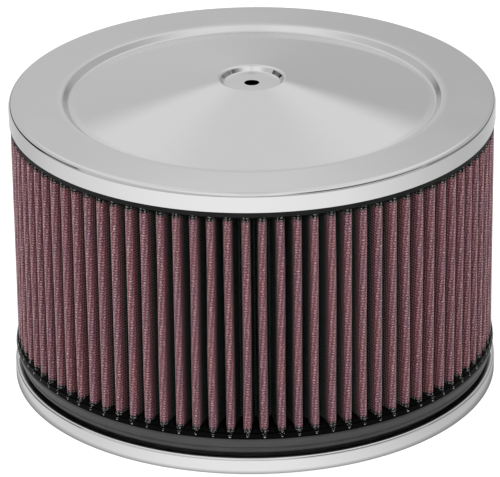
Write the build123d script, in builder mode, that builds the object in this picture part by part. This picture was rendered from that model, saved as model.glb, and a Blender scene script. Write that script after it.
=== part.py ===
"""Open-element carburetor air cleaner: lid, pleated element, base plate and neck gasket.

Millimetres, +Z up. The origin is on the axis, at the level of the base rim's lower edge, on which the
cleaner stands.
"""

from build123d import *
import math
import os

# Sheet steel of the lid and the base plate
sheet = 0.9
bend_facet_turn = 35.0  # a bend has one flat facet for each turn of up to this many degrees

# Base plate, from the neck outwards
neck_bore_radius = 65.4
collar_height = 6.0
ledge_width = 8.0
well_wall_run = 1.4
pan_run = 6.26
pan_drop = 2.0
bead_top_width = 4.0
bead_run = 2.4
bead_height = 3.6
bead_bend = 1.2
seat_height = 8.0
rim_overhang = 1.7
rim_bend = 1.5

# Neck gasket
gasket_thickness = 2.0
gasket_floor_gap = 0.4  # the gasket's face stays this far above the rim's edge
gasket_bore_clearance = 0.6
gasket_width = 7.0

# Pleated sheet: cotton gauze between two wire screens, folded together
pleat_count = 90
pleat_depth = 19.0
media_thickness = 1.6
fold_inside_radius = 0.6
fold_facets = 6  # flat facets round the outside of a fold
media_height = 107.6
seam_azimuth = 90.0  # where the two ends of the sheet meet

# Bottom seal
bottom_seal_height = 12.0
bore_clearance = 1.0  # gap between a locating bead or step and the bore of its seal
seal_bore_wall = 4.3  # urethane inside the inner folds, in both seals
band_wall = 1.1  # urethane outside the outer folds, at the flat band
collar_wall = 0.5  # the same, at the collar above the band
band_top_height = 9.3
band_edge = 0.7
foot_height = 1.8
foot_margin = 5.0  # the foot stays this far inside the flat of the seat
band_taper = 1.9  # the band's lower edge stands this far inside its upper one
groove_height = 4.3
groove_half_width = 0.6
groove_depth = 0.5

# Top seal
top_seal_height = 11.2
top_band_wall = 0.2
top_band_height = 2.2
lip_side_clearance = 0.3
lip_edge_clearance = 0.3
crown_edge = 2.0

# Lid
lid_overhang = 0.6  # the lip stands this far outside the pleats
shoulder_bend = 2.5
step_run = 2.6
step_drop = 3.0
step_bend = 1.4
cone_rise = 11.75
dish_rim_radius = 15.2
dish_rim_bend = 1.6
dish_wall_run = 2.0
dish_depth = 2.8
stud_hole_radius = 3.45

# Seam clip
clip_sheet = 0.5
clip_leg = 8.0
clip_end_gap = 0.1

os.makedirs("parts", exist_ok=True)


def half_turn(run, rise):
    """Tangent of half the turn from a flat into a slope."""
    return math.tan(math.atan2(rise, run) / 2)


# Radii and heights that follow from the sizes above, from the neck outwards
collar_radius = neck_bore_radius + sheet
well_radius = collar_radius + ledge_width
pan_radius = well_radius + well_wall_run + pan_run
bead_radius = pan_radius + bead_top_width + bead_run
seal_bore_radius = bead_radius + bead_bend * half_turn(bead_run, bead_height) + bore_clearance
pleat_outer_radius = seal_bore_radius + seal_bore_wall + pleat_depth
pitch = 360 / pleat_count
fold_outside_radius = fold_inside_radius + media_thickness
crest_middle_radius = pleat_outer_radius - fold_outside_radius
root_middle_radius = pleat_outer_radius - pleat_depth + fold_outside_radius
rim_radius = pleat_outer_radius + rim_overhang
lid_radius = pleat_outer_radius + lid_overhang
media_bottom = seat_height + bottom_seal_height
media_top = media_bottom + media_height
seal_top = media_top + top_seal_height
lid_top = seal_top + sheet
lip_edge = media_top + top_band_height + lip_edge_clearance


def bent(corners, bends):
    """Points along a path of sheet steel: each corner is rounded to its bend radius, in flat facets."""
    path = FilletPolyline(*corners, radius=bends, mode=Mode.PRIVATE)
    points = [path @ 0]
    for edge in path.edges():
        turn = (edge % 0).get_angle(edge % 1)
        facets = max(1, math.ceil(turn / bend_facet_turn))
        points.extend(edge @ (step / facets) for step in range(1, facets + 1))
    return points


def sheet_outline(upper):
    """Closed outline of the sheet: its upper face, and its lower face with mitred corners."""
    normals = [(end - start).normalized().rotate(Axis.Z, -90) for start, end in zip(upper, upper[1:])]
    lower = [upper[0] + normals[0] * sheet]
    for corner, before, after in zip(upper[1:-1], normals, normals[1:]):
        mitre = before + after
        lower.append(corner + mitre * (2 * sheet / mitre.dot(mitre)))
    lower.append(upper[-1] + normals[-1] * sheet)
    return [*upper, *reversed(lower)]


# Lid: hole, dish, cone, locating step, flange and lip, along its upper face
step_radius = seal_bore_radius - bore_clearance - sheet * half_turn(step_run, step_drop)
cone_foot = lid_top - step_drop
dish_rim = cone_foot + cone_rise
lid_corners = [
    (stud_hole_radius, dish_rim - dish_depth),
    (dish_rim_radius - dish_wall_run, dish_rim - dish_depth),
    (dish_rim_radius, dish_rim),
    (step_radius - step_run, cone_foot),
    (step_radius, lid_top),
    (lid_radius, lid_top),
    (lid_radius, lip_edge),
]
lid_bends = [0, dish_rim_bend, step_bend, step_bend, shoulder_bend]
with BuildPart() as lid:
    with BuildSketch(Plane.XZ):
        with BuildLine():
            Polyline(*sheet_outline(bent(lid_corners, lid_bends)), close=True)
        make_face()
    revolve(axis=Axis.Z)
lid.part.label = "lid"
export_step(lid.part, "parts/lid.step")

# Base plate: collar, ledge, well wall, pan, locating bead, seat and rim, along its upper face
ledge_top = gasket_floor_gap + gasket_thickness + sheet
bead_top = seat_height + bead_height
base_corners = [
    (collar_radius, ledge_top + collar_height),
    (collar_radius, ledge_top),
    (well_radius, ledge_top),
    (well_radius + well_wall_run, bead_top - pan_drop),
    (pan_radius, bead_top),
    (bead_radius - bead_run, bead_top),
    (bead_radius, seat_height),
    (rim_radius, seat_height),
    (rim_radius, 0),
]
base_bends = [0, 0, 0, 0, bead_bend, bead_bend, rim_bend]
with BuildPart() as base_plate:
    with BuildSketch(Plane.XZ):
        with BuildLine():
            Polyline(*sheet_outline(bent(base_corners, base_bends)), close=True)
        make_face()
    revolve(axis=Axis.Z)
base_plate.part.label = "base_plate"
export_step(base_plate.part, "parts/base_plate.step")

# Neck gasket: flat ring against the underside of the ledge
gasket_bore_radius = neck_bore_radius + gasket_bore_clearance
with BuildPart() as neck_gasket:
    with BuildSketch(Plane.XY.offset(gasket_floor_gap)):
        Circle(gasket_bore_radius + gasket_width)
        Circle(gasket_bore_radius, mode=Mode.SUBTRACT)
    extrude(amount=gasket_thickness)
neck_gasket.part.label = "neck_gasket"
export_step(neck_gasket.part, "parts/neck_gasket.step")

# Bottom seal: foot on the seat, tapered band with a groove, and a collar round the feet of the pleats
band_radius = pleat_outer_radius + band_wall
foot_radius = rim_radius - rim_bend - foot_margin
foot_top = seat_height + foot_height
band_top = seat_height + band_top_height
groove = seat_height + groove_height
band_shoulder = band_top - band_edge
band_slope = band_taper / (band_shoulder - foot_top)
band_levels = [foot_top, groove - groove_half_width, groove, groove + groove_half_width, band_shoulder]
band_depths = [0, 0, groove_depth, 0, 0]
band_face = [
    (band_radius - (band_shoulder - level) * band_slope - depth, level)
    for level, depth in zip(band_levels, band_depths)
]
with BuildPart() as bottom_seal:
    with BuildSketch(Plane.XZ):
        with BuildLine():
            Polyline(
                (seal_bore_radius, seat_height),
                (foot_radius, seat_height),
                (foot_radius, foot_top),
                *band_face,
                (pleat_outer_radius + collar_wall, band_top),
                (pleat_outer_radius + collar_wall, media_bottom),
                (seal_bore_radius, media_bottom),
                close=True,
            )
        make_face()
    revolve(axis=Axis.Z)
bottom_seal.part.label = "bottom_seal"
export_step(bottom_seal.part, "parts/bottom_seal.step")

# Top seal: the band that shows below the lip, and the crown that fills the lid
crown_radius = lid_radius - sheet - lip_side_clearance
with BuildPart() as top_seal:
    with BuildSketch(Plane.XZ):
        with BuildLine():
            Polyline(
                (seal_bore_radius, media_top),
                (pleat_outer_radius + top_band_wall, media_top),
                (pleat_outer_radius + top_band_wall, media_top + top_band_height),
                (crown_radius, media_top + top_band_height),
                (crown_radius, seal_top - crown_edge),
                (crown_radius - crown_edge, seal_top),
                (seal_bore_radius, seal_top),
                close=True,
            )
        make_face()
    revolve(axis=Axis.Z)
top_seal.part.label = "top_seal"
export_step(top_seal.part, "parts/top_seal.step")


def polar(radius, angle):
    """Point in the plan view, from its radius and its angle in degrees."""
    return Vector(radius, 0).rotate(Axis.Z, angle)


def across(point):
    """The same point on the other side of the middle plane of the pleat at angle 0."""
    return Vector(point.X, -point.Y)


def fold(start, middle, end, facets):
    """Points round a fold, from the wall that it leaves to the wall that it meets."""
    round_fold = ThreePointArc(start, middle, end, mode=Mode.PRIVATE)
    return [round_fold @ (step / facets) for step in range(facets + 1)]


# One wall of the pleat at angle 0: it leaves the outer fold and meets the inner fold half a pitch on
outer_fold = polar(crest_middle_radius, 0)
inner_fold = polar(root_middle_radius, pitch / 2)
span = inner_fold - outer_fold
wall_lean = math.degrees(math.acos((fold_inside_radius + fold_outside_radius) / span.length))
wall_normal = span.normalized().rotate(Axis.Z, -wall_lean)
wall_inward = wall_normal.rotate(Axis.Z, 90)

# The outer face of the sheet is wide at the outer folds and tight at the inner ones; the inner face is
# the other way round. A tight fold is creased flat.
faces = [
    (fold_outside_radius, fold_facets, fold_inside_radius, 1),
    (fold_inside_radius, 1, fold_outside_radius, fold_facets),
]
with BuildLine() as pleat_lines:
    for outer_fold_radius, outer_facets, inner_fold_radius, inner_facets in faces:
        leave = outer_fold + wall_normal * outer_fold_radius
        meet = inner_fold - wall_normal * inner_fold_radius
        crest = polar(crest_middle_radius + outer_fold_radius, 0)
        Polyline(across(meet), *fold(across(leave), crest, leave, outer_facets), meet)
with BuildLine() as root_lines:
    for outer_fold_radius, outer_facets, inner_fold_radius, inner_facets in faces:
        meet = inner_fold - wall_normal * inner_fold_radius
        root = polar(root_middle_radius - inner_fold_radius, pitch / 2)
        Polyline(*fold(meet, root, across(meet).rotate(Axis.Z, pitch), inner_facets))

# Pleated sheet: one strip, folded and bent round until its two cut ends meet at the seam
first_pleat = seam_azimuth + pitch / 2
last_pleat = seam_azimuth - pitch / 2
cut_outer = inner_fold - wall_normal * fold_inside_radius
cut_inner = inner_fold - wall_normal * fold_outside_radius
with BuildPart() as pleated_media:
    with BuildSketch(Plane.XY.offset(media_bottom)):
        with BuildLine():
            with PolarLocations(0, pleat_count, start_angle=first_pleat):
                add(pleat_lines.line)
            with PolarLocations(0, pleat_count - 1, start_angle=first_pleat, angular_range=360 - pitch):
                add(root_lines.line)
            Line(across(cut_outer).rotate(Axis.Z, first_pleat), across(cut_inner).rotate(Axis.Z, first_pleat))
            Line(cut_outer.rotate(Axis.Z, last_pleat), cut_inner.rotate(Axis.Z, last_pleat))
        make_face()
    extrude(amount=media_height)
pleated_media.part.label = "pleated_media"
export_step(pleated_media.part, "parts/pleated_media.step")

# Seam clip: a strip folded over the two cut ends, its legs along the outsides of the two walls
leg_end = cut_inner - wall_inward * clip_leg
leg_foot = cut_inner + wall_inward * clip_end_gap
with BuildPart() as seam_clip:
    with BuildSketch(Plane.XY.offset(media_bottom)):
        with BuildLine():
            clip_face = Polyline(
                leg_end.rotate(Axis.Z, last_pleat),
                leg_foot.rotate(Axis.Z, last_pleat),
                across(leg_foot).rotate(Axis.Z, first_pleat),
                across(leg_end).rotate(Axis.Z, first_pleat),
            )
            offset(clip_face, amount=clip_sheet, side=Side.LEFT)
        make_face()
    extrude(amount=media_height)
seam_clip.part.label = "seam_clip"
export_step(seam_clip.part, "parts/seam_clip.step")
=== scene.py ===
"""Visual model of an open-element carburetor air cleaner.

A chromed lid and base hold a round element of pleated, oily gauze between wire screens, with cast
urethane ends. Sizes are in millimetres and become metres where a mesh is made. The frame is the CAD
model's own: +Z up along the axis, the base rim's lower edge at zero, the seam of the element at +Y.
"""

from __future__ import annotations

import logging
import math
from dataclasses import dataclass, field
from enum import Enum

import bpy
import numpy as np
from mathutils import Matrix, Vector


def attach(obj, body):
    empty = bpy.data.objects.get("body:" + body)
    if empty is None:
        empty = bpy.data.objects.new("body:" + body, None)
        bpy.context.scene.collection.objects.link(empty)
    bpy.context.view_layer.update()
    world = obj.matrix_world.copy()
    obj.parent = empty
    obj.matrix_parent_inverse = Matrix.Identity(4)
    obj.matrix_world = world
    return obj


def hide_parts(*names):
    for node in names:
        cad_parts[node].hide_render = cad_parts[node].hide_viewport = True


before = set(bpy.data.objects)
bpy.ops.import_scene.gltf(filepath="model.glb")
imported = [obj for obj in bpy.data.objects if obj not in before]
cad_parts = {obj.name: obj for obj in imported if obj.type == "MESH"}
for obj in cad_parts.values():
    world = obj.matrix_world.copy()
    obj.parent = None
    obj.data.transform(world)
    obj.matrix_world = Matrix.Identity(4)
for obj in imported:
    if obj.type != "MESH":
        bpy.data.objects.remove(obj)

MM = 0.001
LEAST_BEND = 0.1  # millimetres of radius that the inside of a bend keeps
STRAIGHT = 1e-4  # radians that a corner may turn and still be straight
log = logging.getLogger("air_cleaner")
Point = tuple[float, float]
Point3 = tuple[float, float, float]
Band = tuple[float, float]  # the ends of a range, or where a change starts and where it is complete
Socket = bpy.types.NodeSocket
Tree = bpy.types.NodeTree
SMOOTH = {"interpolation_type": "SMOOTHSTEP"}
COLOUR = {"data_type": "RGBA"}


def linear(code: str) -> tuple[float, float, float, float]:
    """Turn an sRGB colour into the linear one that shaders use.

    Args:
        code: the colour as six hex digits.

    Returns:
        Linear red, green, blue and an alpha of 1.
    """
    levels = [int(code[i : i + 2], 16) / 255 for i in (0, 2, 4)]
    return (*[c / 12.92 if c <= 0.04045 else ((c + 0.055) / 1.055) ** 2.4 for c in levels], 1.0)


def add(tree: Tree, kind: str, inputs: dict | tuple = (), **settings) -> Socket | None:
    """Add one node with its settings and links.

    Args:
        tree: the node tree to add it to.
        kind: the node's type without its ShaderNode prefix.
        inputs: a value, or the socket that feeds it, for each of the node's inputs, by name or in their own
            order. A MapRange takes the value, the range that it comes from and the one that it goes to.
        settings: the node's own properties.

    Returns:
        The node's first output in use, if it has one.
    """
    made = tree.nodes.new("ShaderNode" + kind)
    for name, value in settings.items():
        setattr(made, name, value)
    for key, value in inputs.items() if isinstance(inputs, dict) else enumerate(inputs):
        if isinstance(value, Socket):
            tree.links.new(value, made.inputs[key])
        else:
            made.inputs[key].default_value = value
    return next((socket for socket in made.outputs if not socket.is_unavailable), None)


def blank(name: str) -> tuple[bpy.types.Material, Tree]:
    """Make a material with an empty node tree.

    Args:
        name: the material's name.

    Returns:
        The material and its tree.
    """
    made = bpy.data.materials.new(name)
    made.use_nodes = True
    made.node_tree.nodes.clear()
    return made, made.node_tree


def output(tree: Tree, shader: Socket) -> None:
    """Join the shader to the material's surface."""
    add(tree, "OutputMaterial", {"Surface": shader})


def off_axis(tree: Tree, place: Socket) -> Socket:
    """Find how far the point is from the object's axis.

    Args:
        tree: the material's tree.
        place: the point on the object.

    Returns:
        Its distance from the axis.
    """
    across, depth, _ = add(tree, "SeparateXYZ", (place,)).node.outputs
    return add(tree, "VectorMath", (add(tree, "CombineXYZ", (across, depth)),), operation="LENGTH")


@dataclass(frozen=True)
class ChromePlate:
    """Bright chrome over buffed drawn steel.

    The plate is a neutral mirror. Buffing leaves it a little soft in places and does not reach into drawn
    corners, so these blur what they mirror. The drawn sheet under it is very slightly wavy, so straight
    reflections swim a little instead of being ruled lines.
    """

    name: str
    corners: tuple[Point3, ...] = ()  # radius, half width and blur of each drawn corner
    tint: str = "E9E9E9"
    roughness: float = 0.055
    buffed: float = 0.05  # how much rougher the softest places are
    buff_size: float = 24.0
    buff_spread: Band = (0.35, 0.75)
    wave_size: float = 38.0
    wave_height: float = 0.018

    def material(self) -> bpy.types.Material:
        """Build the material.

        Returns:
            The chrome material.
        """
        made, tree = blank(self.name)
        place = add(tree, "TexCoord").node.outputs["Object"]
        cloud = add(tree, "TexNoise", {"Vector": place, "Scale": 1 / (self.buff_size * MM), "Detail": 3.0})
        softest = self.roughness + self.buffed
        rough = add(tree, "MapRange", (cloud, *self.buff_spread, self.roughness, softest))
        if self.corners:
            rough = self.soften(tree, place, rough)
        wave = add(tree, "TexNoise", {"Vector": place, "Scale": 1 / (self.wave_size * MM), "Detail": 1.0})
        relief = add(tree, "Bump", {"Height": wave, "Distance": self.wave_height * MM})
        plate = {"Base Color": linear(self.tint), "Metallic": 1.0, "Roughness": rough, "Normal": relief}
        output(tree, add(tree, "BsdfPrincipled", plate))
        return made

    def soften(self, tree: Tree, place: Socket, rough: Socket) -> Socket:
        """Blur the drawn corners.

        Args:
            tree: the material's tree.
            place: the point on the object.
            rough: the roughness so far.

        Returns:
            The roughness with the corners' blur.
        """
        radius = off_axis(tree, place)
        for corner, width, most in self.corners:
            away = add(tree, "Math", (radius, corner * MM), operation="SUBTRACT")
            away = add(tree, "Math", (away,), operation="ABSOLUTE")
            blur = add(tree, "MapRange", (away, width * MM / 2, width * MM, most, 0.0), **SMOOTH)
            rough = add(tree, "Math", (rough, blur), operation="ADD")
        return rough


@dataclass(frozen=True)
class CastUrethane:
    """Black urethane, cast in an open mould.

    Cast against the mould it is satin, with a fine skin texture and a bloom of dust that greys it. Where
    it set in air, between the pleats, it is oily black urethane, drawn dead black and almost without shine
    as painted shade for the deep shade there. Under the lid a darker copy is painted shade from the lid.
    """

    name: str
    colour: str
    dusty: str
    roughness: float
    shine: float = 0.5
    dust_size: float = 9.0
    dust_spread: Band = (0.4, 0.7)
    dull: float = 0.12  # how much rougher the dullest places are
    dull_spread: Band = (0.3, 0.7)
    grain: float = 0.9
    grain_height: float = 0.02

    def material(self) -> bpy.types.Material:
        """Build the material.

        Returns:
            The urethane material.
        """
        made, tree = blank(self.name)
        place = add(tree, "TexCoord").node.outputs["Object"]
        dust = {"Vector": place, "Scale": 1 / (self.dust_size * MM), "Detail": 6.0, "Roughness": 0.65}
        dust = add(tree, "TexNoise", dust)
        bloom = add(tree, "MapRange", (dust, *self.dust_spread))
        colour = {"Factor": bloom, "A": linear(self.colour), "B": linear(self.dusty)}
        colour = add(tree, "Mix", colour, **COLOUR)
        skin = add(tree, "TexNoise", {"Vector": place, "Scale": 1 / (self.grain * MM), "Detail": 3.0})
        relief = add(tree, "Bump", {"Height": skin, "Distance": self.grain_height * MM})
        rough = add(tree, "MapRange", (dust, *self.dull_spread, self.roughness, self.roughness + self.dull))
        rubber = {"Base Color": colour, "Roughness": rough, "IOR": 1.5, "Specular IOR Level": self.shine}
        output(tree, add(tree, "BsdfPrincipled", {**rubber, "Normal": relief}))
        return made


@dataclass(frozen=True)
class ScreenedGauze:
    """Oiled cotton gauze behind a woven screen of epoxy-coated wire.

    Oiling turns the cotton dark maroon, more mauve in some places and browner in others. The wires cross
    in front of it in a plain weave; their colour is drawn only on the humps where a wire comes over, partly
    a painted highlight on the weave, so the eye gets short mauve dashes in slanting rows, uneven from one
    to the next. Seen along the surface a silvery colour is mixed in as a painted sheen. The flanks below
    each crest and the folds are drawn darker, as painted shade, and urethane has soaked both ends black,
    higher between the crests than on them.

    The weave and the cotton's threads are drawn coarser than the real ones, which are too fine to show.
    """

    name: str
    gauze: str = "50323A"
    gauze_thin: str = "7A4F59"
    thread_pitch: float = 0.7
    thread_relief: float = 0.15  # how far the threads stand up, beside the wires
    uneven_size: float = 6.0

    wire: str = "926D75"
    wire_worn: str = "B29BA0"
    worn: Band = (0.42, 0.72)
    wire_pitch: float = 1.3
    wire_width: float = 0.58
    wire_height: float = 0.13
    # share of the wire's colour drawn on its humps, a weave pattern that is partly painted highlight
    hump_highlight_share: float = 0.8
    hump_edge: Band = (1.3, 0.4)  # where a hump fades out and where it is whole, in halves of its width
    hump_end: Band = (-0.1, 0.9)  # the same along the wire, on the wave from under to over
    pull: float = 1.0  # how far the weave is pulled out of true
    pull_size: float = 2.6
    slant: float = 3.0  # degrees between the upright wires and the folds
    painted_sheen_colour: str = "A8A3A0"
    sheen: float = 0.6
    sheen_start: float = 0.55  # how far the surface turns from the eye before the painted sheen starts

    lint: float = 0.3  # how much the coat of oil and lint lightens and darkens the screen
    lint_size: float = 0.8
    lint_spread: Band = (0.3, 0.7)
    flank_painted_shade: Point3 = (0.66, 0.44, 0.46)  # painted shade: what is left of a crest's colour on its flanks
    dye_cool: Point3 = (0.965, 1.0, 1.04)  # what the dye leaves of the colour where it is mauve
    dye_warm: Point3 = (1.045, 1.01, 0.925)  # and where it is rather brown
    dye_size: float = 17.0
    dye_spread: Band = (0.35, 0.65)

    painted_fold_shade: str = "0E1311"
    painted_fold_shade_wire: str = "46524F"
    crest_radius: float = 113.3
    painted_shade_flank_radius: float = 111.1
    fold_shade_start: float = 112.7
    fold_shade_radius: float = 106.6  # painted shade: the folds are drawn quite black inside this radius

    soaked: str = "030303"
    soaked_wire: str = "7E8481"
    wire_left: float = 0.6  # how much of a hump still shows where urethane has soaked the sheet
    bottom: float = 20.0
    top: float = 127.6
    soak_start: float = 0.2
    soak_fade: float = 1.6
    soak_uneven: float = 2.6
    soak_creep: float = 0.15  # how much higher the urethane stands for each millimetre below the crest

    roughness: Band = (0.8, 0.42)  # between the humps, and on them
    shine: Band = (0.03, 0.45)  # specular level of what is black, and of the clean screen

    def material(self) -> bpy.types.Material:
        """Build the material.

        Returns:
            The gauze and screen material, laid out by the sheet's unfolded millimetres.
        """
        made, tree = blank(self.name)
        flat = add(tree, "UVMap", uv_map="unfolded")
        place = add(tree, "TexCoord").node.outputs["Object"]
        height = add(tree, "SeparateXYZ", (place,)).node.outputs[2]
        radius = off_axis(tree, place)
        humps = self.weave(tree, flat)
        specks = add(tree, "TexNoise", {"Vector": flat, "Scale": 1 / self.wire_pitch, "Detail": 1.0})
        # at a scale of 1 the wave texture repeats every tau / 20
        fine = math.tau / 20 / self.thread_pitch
        threads = {"Vector": flat, "Scale": fine, "Distortion": 1.2, "Detail": 2.0}
        threads = add(tree, "TexWave", threads, wave_type="BANDS", bands_direction="DIAGONAL").node.outputs[1]

        clean = self.cloth(tree, place, threads, specks, humps)
        clean = self.painted_light(tree, flat, place, radius, clean)
        # painted shade: the sheet is drawn darker with depth below the crest, into near-black folds where the
        # wires still faintly show
        out = add(tree, "MapRange", (radius, self.fold_shade_radius * MM, self.fold_shade_start * MM), **SMOOTH)
        deep = {"Factor": humps, "A": linear(self.painted_fold_shade), "B": linear(self.painted_fold_shade_wire)}
        deep = add(tree, "Mix", deep, **COLOUR)
        colour = add(tree, "Mix", {"Factor": out, "A": deep, "B": clean}, **COLOUR)

        soaked = self.soak(tree, height, radius, specks)
        left = add(tree, "Math", (humps, self.wire_left), operation="MULTIPLY")
        pitch = {"Factor": left, "A": linear(self.soaked), "B": linear(self.soaked_wire)}
        pitch = add(tree, "Mix", pitch, **COLOUR)
        stained = add(tree, "Mix", {"Factor": soaked, "A": colour, "B": pitch}, **COLOUR)
        # the shine drops where urethane has soaked the sheet, and where the folds carry painted shade
        bare = add(tree, "Math", (1.0, soaked), operation="SUBTRACT")
        bare = add(tree, "Math", (bare, out), operation="MULTIPLY")

        raised = add(tree, "Math", (threads, self.thread_relief, humps), operation="MULTIPLY_ADD")
        relief = add(tree, "Bump", {"Height": raised, "Distance": self.wire_height * MM})
        rough = add(tree, "MapRange", (humps, 0.0, 1.0, *self.roughness))
        shine = add(tree, "MapRange", (bare, 0.0, 1.0, *self.shine))
        sheet = {"Base Color": stained, "Roughness": rough, "Specular IOR Level": shine, "Normal": relief}
        output(tree, add(tree, "BsdfPrincipled", sheet))
        return made

    def weave(self, tree: Tree, flat: Socket) -> Socket:
        """Weave both sets of wires, a little pulled out of true.

        Args:
            tree: the material's tree.
            flat: the point on the unfolded sheet.

        Returns:
            How far the wires stand up, from 0 to 1.
        """
        pulled = {"Vector": flat, "Scale": 1 / self.pull_size, "Detail": 2.0}
        pulled = add(tree, "TexNoise", pulled).node.outputs["Color"]
        slanted = add(tree, "Mapping", {"Vector": flat, "Rotation": (0.0, 0.0, math.radians(self.slant))})
        woven = add(tree, "VectorMath", (pulled, [self.pull] * 3, slanted), operation="MULTIPLY_ADD")
        split = add(tree, "SeparateXYZ", (woven,)).node.outputs
        upright = self.humps(tree, split[0], split[1], 0.0)
        level = self.humps(tree, split[1], split[0], 1.0)
        return add(tree, "Math", (upright, level), operation="MAXIMUM")

    def humps(self, tree: Tree, across: Socket, along: Socket, turn: float) -> Socket:
        """Draw the humps of one set of parallel wires, where they come over the other set.

        Args:
            tree: the material's tree.
            across: the coordinate across the wires.
            along: the coordinate along them.
            turn: 0 for the wires that come over first, 1 for the set that goes under there.

        Returns:
            How far the wires stand up, from 0 to 1.
        """
        count = add(tree, "Math", (across, self.wire_pitch), operation="DIVIDE")
        number = add(tree, "Math", (count,), operation="ROUND")
        off = add(tree, "Math", (count, number), operation="SUBTRACT")
        off = add(tree, "Math", (off,), operation="ABSOLUTE")
        half = self.wire_width / self.wire_pitch / 2
        there = add(tree, "MapRange", (off, half * self.hump_edge[0], half * self.hump_edge[1]), **SMOOTH)
        crossing = add(tree, "Math", (along, self.wire_pitch), operation="DIVIDE")
        crossing = add(tree, "Math", (crossing, number), operation="ADD")
        phase = add(tree, "Math", (crossing, math.pi, math.pi * turn), operation="MULTIPLY_ADD")
        swing = add(tree, "Math", (phase,), operation="COSINE")
        over = add(tree, "MapRange", (swing, *self.hump_end), **SMOOTH)
        return add(tree, "Math", (there, over), operation="MULTIPLY")

    def cloth(self, tree: Tree, place: Socket, threads: Socket, specks: Socket, humps: Socket) -> Socket:
        """Colour the cotton and the wires over it.

        Args:
            tree: the material's tree.
            place: the point on the object.
            threads: how far the cotton's threads stand up.
            specks: a noise about as fine as the wires.
            humps: how far the wires stand up.

        Returns:
            The colour of the screened cotton.
        """
        uneven = add(tree, "TexNoise", {"Vector": place, "Scale": 1 / (self.uneven_size * MM), "Detail": 4.0})
        thin = add(tree, "Math", (threads, uneven), operation="MULTIPLY")
        cotton = {"Factor": thin, "A": linear(self.gauze), "B": linear(self.gauze_thin)}
        cotton = add(tree, "Mix", cotton, **COLOUR)
        worn = add(tree, "MapRange", (specks, *self.worn))
        coat = {"Factor": worn, "A": linear(self.wire), "B": linear(self.wire_worn)}
        coat = add(tree, "Mix", coat, **COLOUR)
        # the wire's colour is drawn only on its humps: the weave's pattern, partly a painted highlight
        painted_hump_highlight = add(tree, "Math", (humps, self.hump_highlight_share), operation="MULTIPLY")
        return add(tree, "Mix", {"Factor": painted_hump_highlight, "A": cotton, "B": coat}, **COLOUR)

    def painted_light(self, tree: Tree, flat: Socket, place: Socket, radius: Socket, clean: Socket) -> Socket:
        """Lay lint, uneven dye, a painted sheen and painted shade on the flanks over the cloth.

        Args:
            tree: the material's tree.
            flat: the point on the unfolded sheet.
            place: the point on the object.
            radius: its distance from the axis.
            clean: the colour of the screened cotton.

        Returns:
            The colour of a crest, with its painted sheen and painted shade.
        """
        lint = add(tree, "TexNoise", {"Vector": flat, "Scale": 1 / self.lint_size, "Detail": 0.0})
        lint = add(tree, "MapRange", (lint, *self.lint_spread, 1 - self.lint, 1 + self.lint))
        clean = add(tree, "VectorMath", (clean, lint), operation="MULTIPLY")
        dye = add(tree, "TexNoise", {"Vector": place, "Scale": 1 / (self.dye_size * MM), "Detail": 2.0})
        dye = add(tree, "MapRange", (dye, *self.dye_spread))
        dye = {"Factor": dye, "A": (*self.dye_cool, 1.0), "B": (*self.dye_warm, 1.0)}
        dye = add(tree, "Mix", dye, **COLOUR)
        clean = add(tree, "VectorMath", (clean, dye), operation="MULTIPLY")
        # painted sheen: a silvery colour mixed in where the surface is seen edge on
        edge = add(tree, "LayerWeight", (0.5,)).node.outputs["Facing"]
        edge = add(tree, "MapRange", (edge, self.sheen_start, 1.0, 0.0, self.sheen))
        clean = add(tree, "Mix", {"Factor": edge, "A": clean, "B": linear(self.painted_sheen_colour)}, **COLOUR)
        # painted shade: the colour is drawn darker down the flanks below the crest
        crest = add(tree, "MapRange", (radius, self.painted_shade_flank_radius * MM, self.crest_radius * MM))
        painted_light = {"Factor": crest, "A": (*self.flank_painted_shade, 1.0), "B": (1.0, 1.0, 1.0, 1.0)}
        painted_light = add(tree, "Mix", painted_light, **COLOUR)
        return add(tree, "VectorMath", (clean, painted_light), operation="MULTIPLY")

    def soak(self, tree: Tree, height: Socket, radius: Socket, specks: Socket) -> Socket:
        """Soak both ends of the sheet with urethane.

        Args:
            tree: the material's tree.
            height: the point's height.
            radius: its distance from the axis.
            specks: a noise about as fine as the wires.

        Returns:
            How far the urethane has soaked in, from 0 to 1.
        """
        below = add(tree, "Math", (self.crest_radius * MM, radius), operation="SUBTRACT")
        soaked = 0.0
        for end, side in ((self.bottom, 1), (self.top, -1)):
            clear = add(tree, "Math", (height, side, -side * end * MM), operation="MULTIPLY_ADD")
            clear = add(tree, "Math", (below, -self.soak_creep, clear), operation="MULTIPLY_ADD")
            clear = add(tree, "Math", (specks, -self.soak_uneven * MM, clear), operation="MULTIPLY_ADD")
            least, most = self.soak_start * MM, (self.soak_start + self.soak_fade) * MM
            black = add(tree, "MapRange", (clear, least, most, 1.0, 0.0))
            soaked = add(tree, "Math", (black, soaked), operation="MAXIMUM")
        return soaked


@dataclass(frozen=True)
class PlatedStrip:
    """Zinc-plated strip steel, rolled: a grey metal with faint lines along the strip."""

    name: str
    tint: str = "B4B6B8"
    line_pitch: float = 0.4
    line_height: float = 0.02
    line_spread: Band = (0.3, 0.7)
    along: float = 0.03  # how slowly the lines change along the strip
    roughness: Band = (0.28, 0.45)

    def material(self) -> bpy.types.Material:
        """Build the material.

        Returns:
            The plated steel material.
        """
        made, tree = blank(self.name)
        place = add(tree, "TexCoord").node.outputs["Object"]
        drawn = add(tree, "Mapping", {"Vector": place, "Scale": (1.0, 1.0, self.along)})
        lines = add(tree, "TexNoise", {"Vector": drawn, "Scale": 1 / (self.line_pitch * MM), "Detail": 2.0})
        gloss = add(tree, "MapRange", (lines, *self.line_spread, *self.roughness))
        relief = add(tree, "Bump", {"Height": lines, "Strength": 0.6, "Distance": self.line_height * MM})
        strip = {"Base Color": linear(self.tint), "Metallic": 1.0, "Roughness": gloss, "Normal": relief}
        output(tree, add(tree, "BsdfPrincipled", strip))
        return made


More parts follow.
